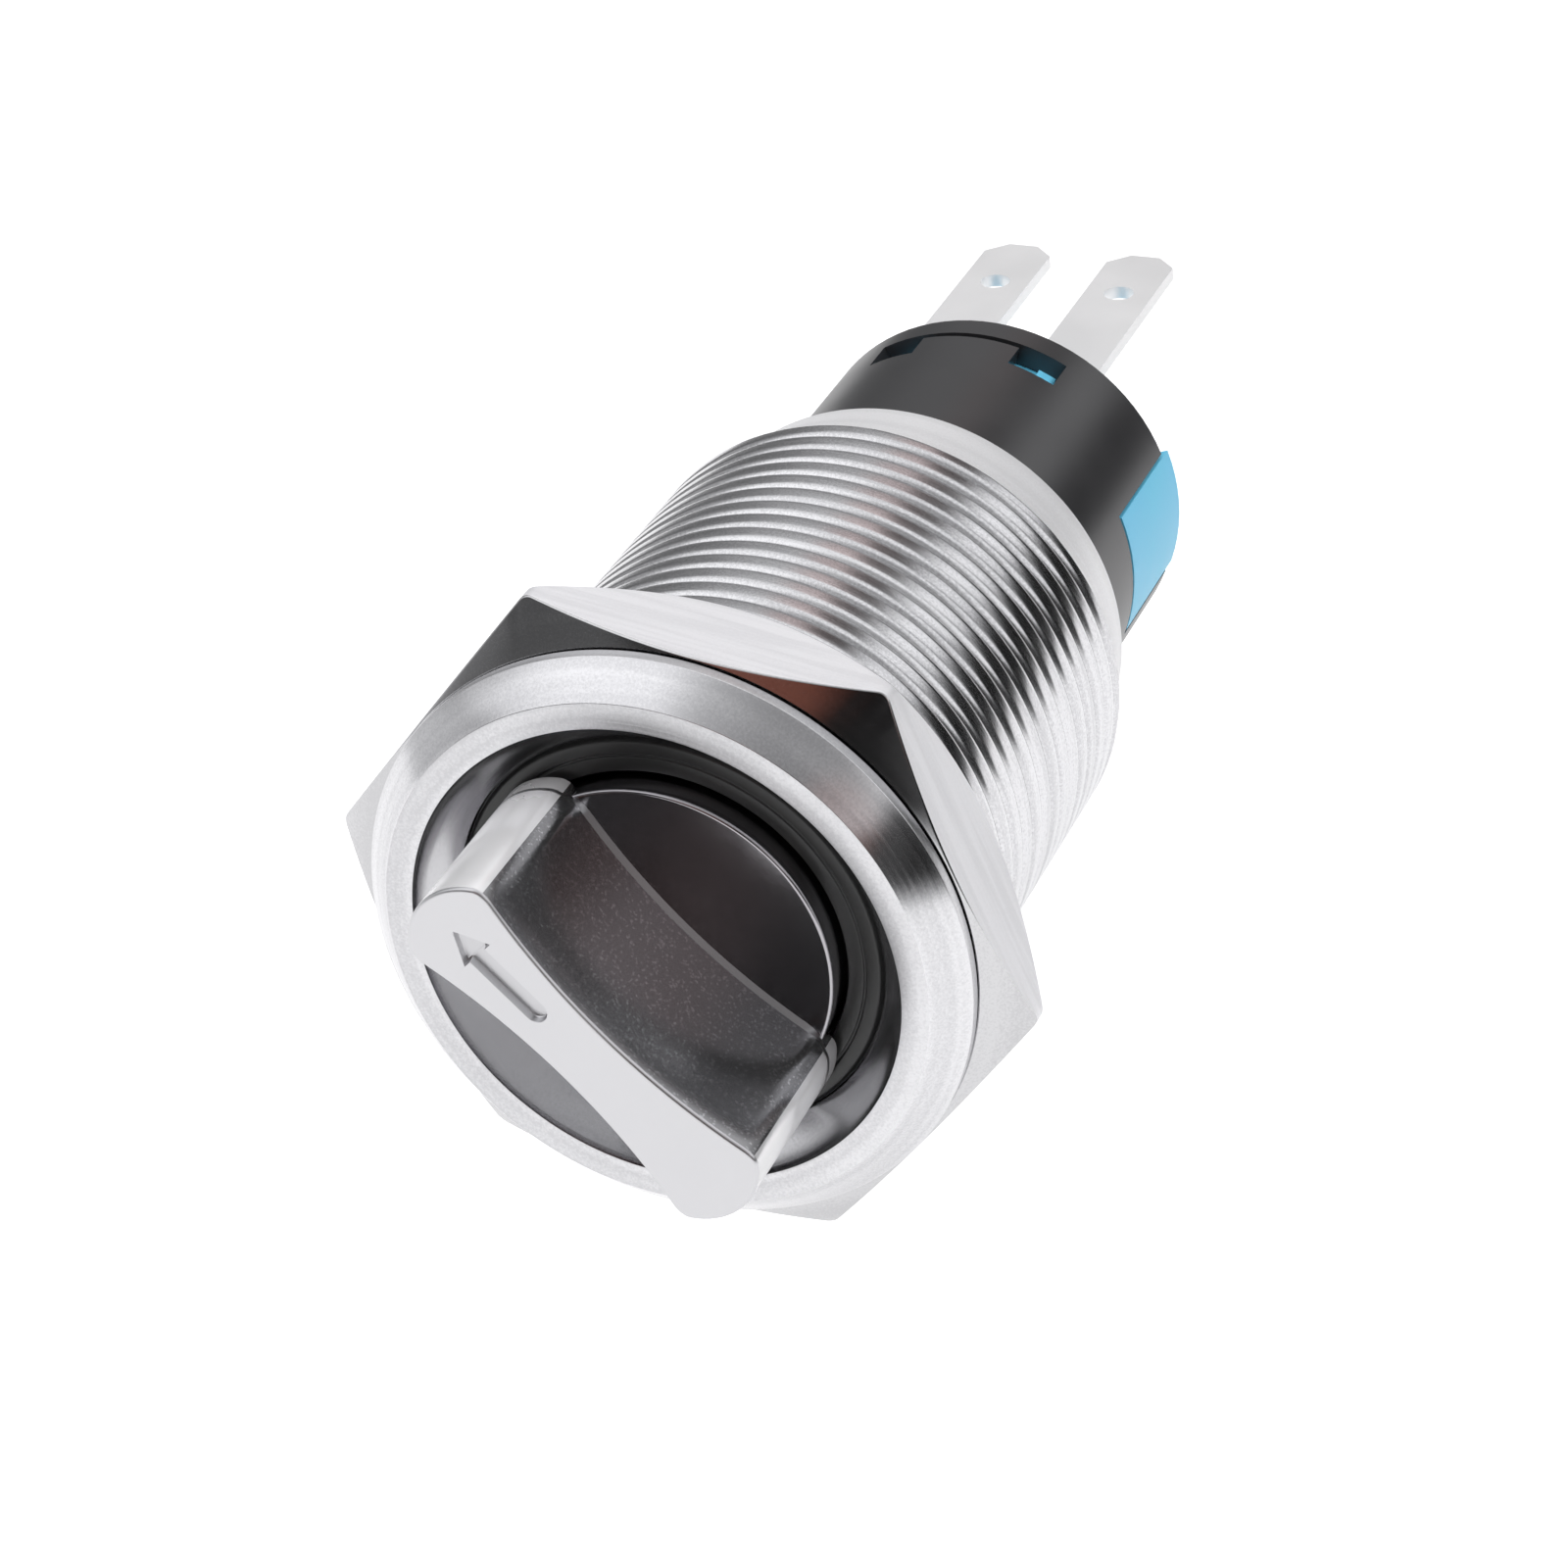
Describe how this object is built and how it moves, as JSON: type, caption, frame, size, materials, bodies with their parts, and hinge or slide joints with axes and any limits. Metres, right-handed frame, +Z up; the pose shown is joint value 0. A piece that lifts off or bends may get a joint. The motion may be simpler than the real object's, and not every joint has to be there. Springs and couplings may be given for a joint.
{
  "type": "rotary selector switch",
  "caption": "Panel-mount selector switch with a round steel bezel, a waisted turning knob with an arrow, a threaded barrel, a hexagonal nut and flat solder terminals.",
  "frame": {"origin": "on the switch's axis, in the plane where the flange's rear face meets the panel", "axes": "+Y along the axis from the knob to the terminals, into the panel; -Y is the side with the knob; +Z up, the side of the paired terminals; +X to the right, as seen from the front"},
  "size_m": [0.025, 0.0518, 0.0236],
  "materials": {
    "bezel_steel": "turned stainless steel, satin front face, polished bowl",
    "nut_steel": "bright machined steel",
    "knob_steel": "satin top, polished ends and bead-blasted sides",
    "ring_plastic": "glossy black",
    "housing_plastic": "moulded, matte dark grey",
    "base_plastic": "moulded, sky blue",
    "terminal_metal": "silver-plated sheet",
    "seal_rubber": "soft black rubber",
    "inner_steel": "plain machined steel",
    "spring_steel": "drawn spring wire",
    "ball_steel": "polished ball",
    "cam_plastic": "natural moulded acetal",
    "lever_brass": "rolled spring brass",
    "contact_silver": "silver contact face"
  },
  "bodies": {
    "switch_body": {"bezel_body": "bezel_steel", "flange_seal": "seal_rubber", "ring_insert": "ring_plastic", "thrust_washer": "inner_steel", "index_plate": "inner_steel", "rear_housing": "housing_plastic", "terminal_base": "base_plastic", "terminal_nc": "terminal_metal", "terminal_no": "terminal_metal", "terminal_common": "terminal_metal", "fixed_contacts": "contact_silver", "plunger_spring": "spring_steel", "lever_spring": "spring_steel"},
    "nut": {"hex_nut": "nut_steel"},
    "knob_body": {"knob": "knob_steel", "stem_seal": "seal_rubber", "stem_clip": "spring_steel", "rotor": "cam_plastic", "rotor_screw": "inner_steel", "detent_spring_1": "spring_steel", "detent_spring_2": "spring_steel"},
    "ball_1": {"detent_ball_1": "ball_steel"},
    "ball_2": {"detent_ball_2": "ball_steel"},
    "plunger": {"plunger": "cam_plastic"},
    "lever": {"contact_lever": "lever_brass", "moving_contact": "contact_silver"}
  },
  "joints": [
    {"name": "knob_turn", "type": "hinge", "parent": "switch_body", "child": "knob_body", "pos_m": [0, 0, 0], "axis": [0, 1, 0], "range_deg": [0, 90]},
    {"name": "nut_travel", "type": "slide", "parent": "switch_body", "child": "nut", "axis": [0, 1, 0], "range_m": [0, 0.0156]},
    {"name": "ball_1_slide", "type": "slide", "parent": "knob_body", "child": "ball_1", "axis": [0, 1, 0], "range_m": [0, 0.00035], "stiffness_N_per_m": 300, "springref_m": -0.0005, "deforming": ["detent_spring_1"]},
    {"name": "ball_2_slide", "type": "slide", "parent": "knob_body", "child": "ball_2", "axis": [0, 1, 0], "range_m": [0, 0.00035], "stiffness_N_per_m": 300, "springref_m": -0.0005, "deforming": ["detent_spring_2"]},
    {"name": "plunger_slide", "type": "slide", "parent": "switch_body", "child": "plunger", "axis": [0, 1, 0], "range_m": [0, 0.00101], "deforming": ["plunger_spring"]},
    {"name": "lever_tilt", "type": "hinge", "parent": "switch_body", "child": "lever", "pos_m": [0, 0.01845, -0.0049], "axis": [-1, 0, 0], "range_deg": [0, 7.3], "deforming": ["lever_spring"]}
  ],
  "couplings": [
    {"joint": "plunger_slide", "follows": "knob_turn", "m_per_rad": 0.00063662},
    {"joint": "lever_tilt", "follows": "knob_turn", "ratio": 0.080585}
  ]
}
